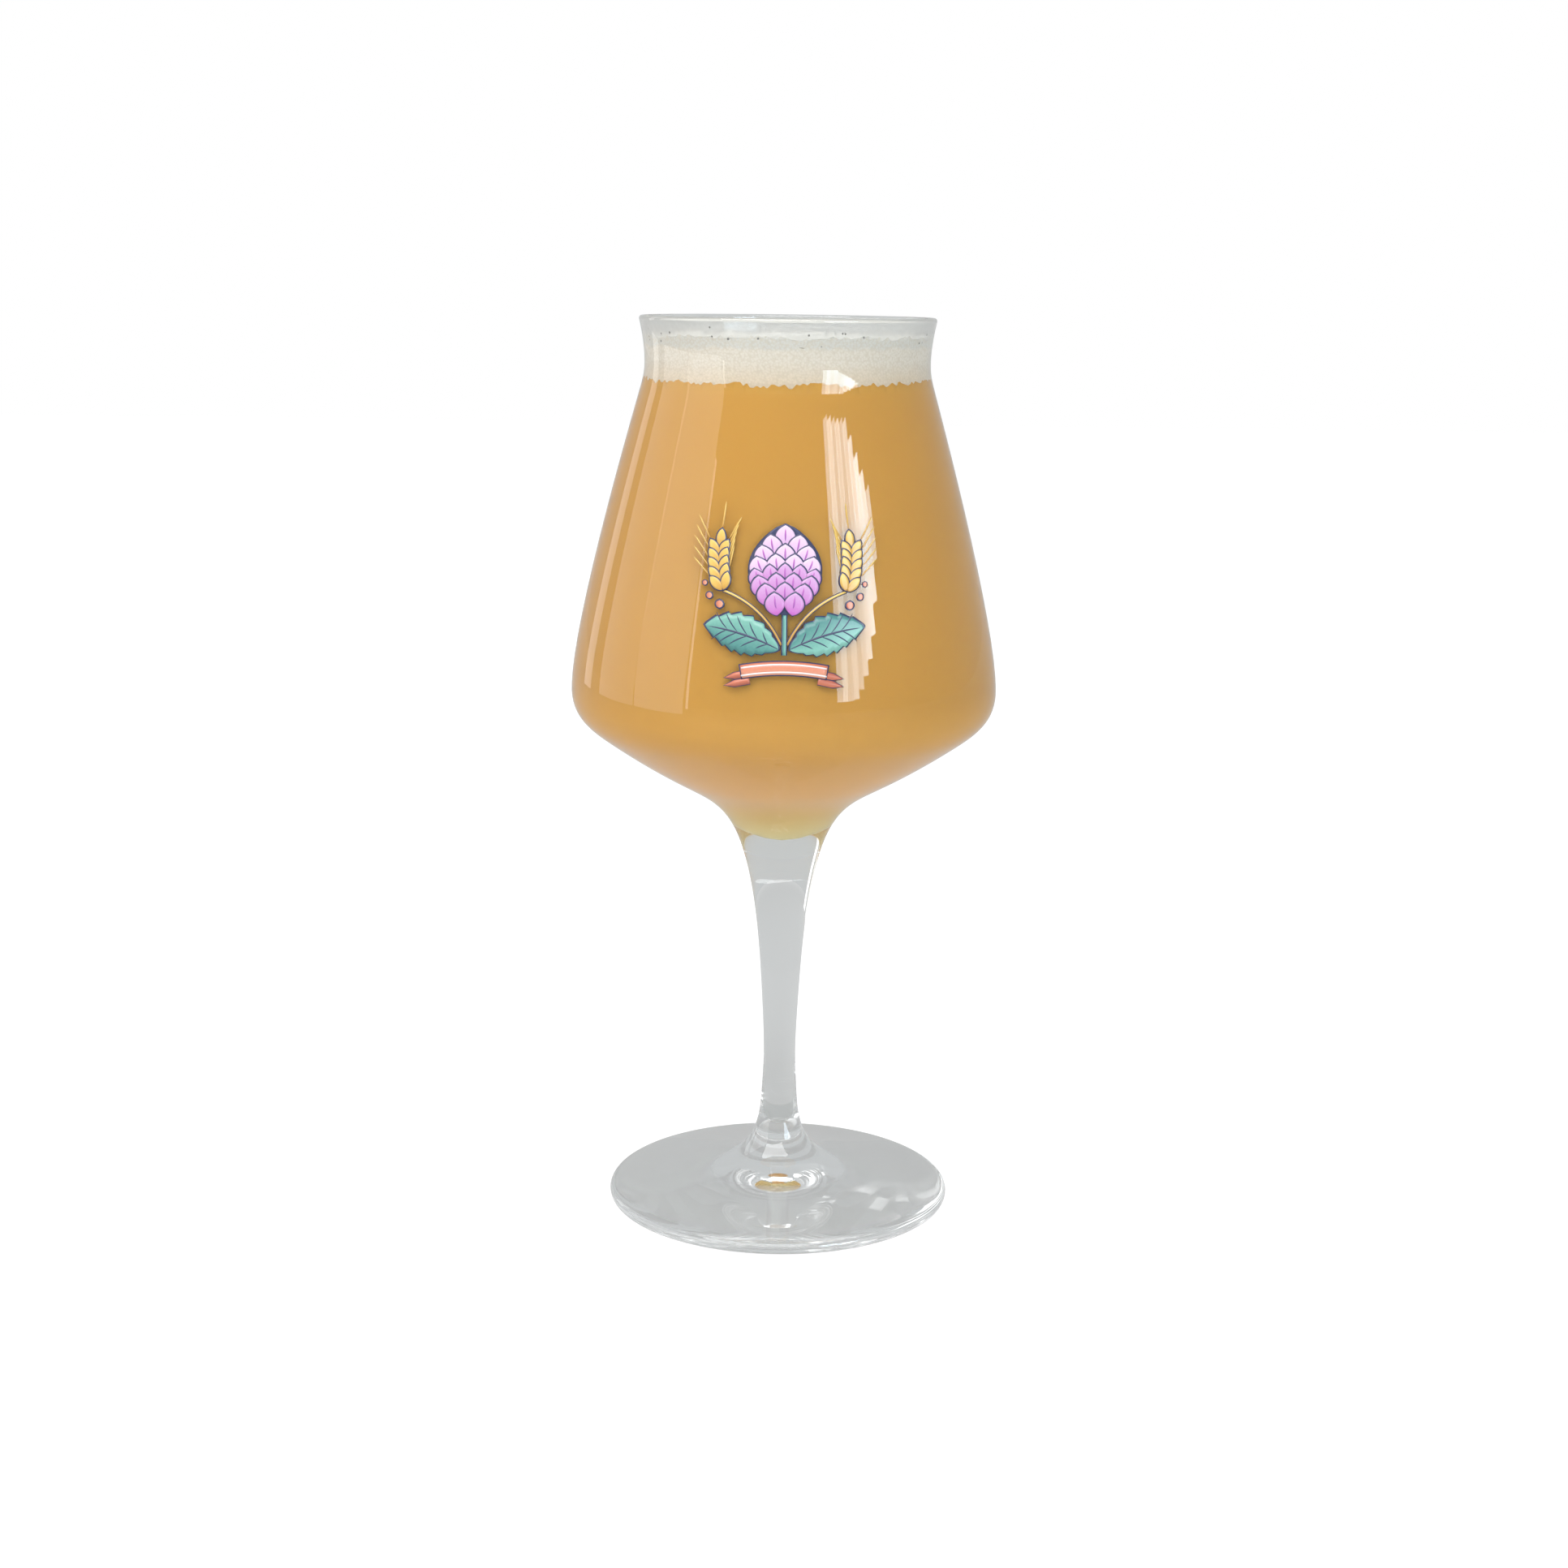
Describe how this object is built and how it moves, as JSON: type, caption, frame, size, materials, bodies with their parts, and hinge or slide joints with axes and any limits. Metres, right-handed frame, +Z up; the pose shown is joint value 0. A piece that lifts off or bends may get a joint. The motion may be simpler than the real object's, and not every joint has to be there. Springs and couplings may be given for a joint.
{
  "type": "stemmed beer glass",
  "caption": "Stemmed tulip tasting glass with a flared lip, angular belly, slim stem and disc foot, filled with hazy beer under a head of foam, with a printed hop emblem.",
  "frame": {"origin": "centre of the ring that the foot rests on, at the height of the table", "axes": "+Z up along the axis of the glass, -Y towards the printed front, +X to the right seen from the front"},
  "size_m": [0.0922, 0.0922, 0.1951],
  "materials": {
    "glass": "gloss",
    "beer": "gloss",
    "foam": "matte",
    "print_lilac": "gloss",
    "print_teal": "gloss",
    "print_gold": "gloss",
    "print_coral": "gloss",
    "print_navy": "gloss"
  },
  "bodies": {
    "root": {"foot": "glass", "stem": "glass", "bowl": "glass", "beer": "beer", "foam_head": "foam", "print_ribbon": "print_coral", "print_stalk": "print_navy", "print_cone": "print_lilac", "print_leaf_left": "print_teal", "print_leaf_right": "print_teal", "print_ear_left": "print_gold", "print_ear_right": "print_gold"}
  },
  "joints": []
}
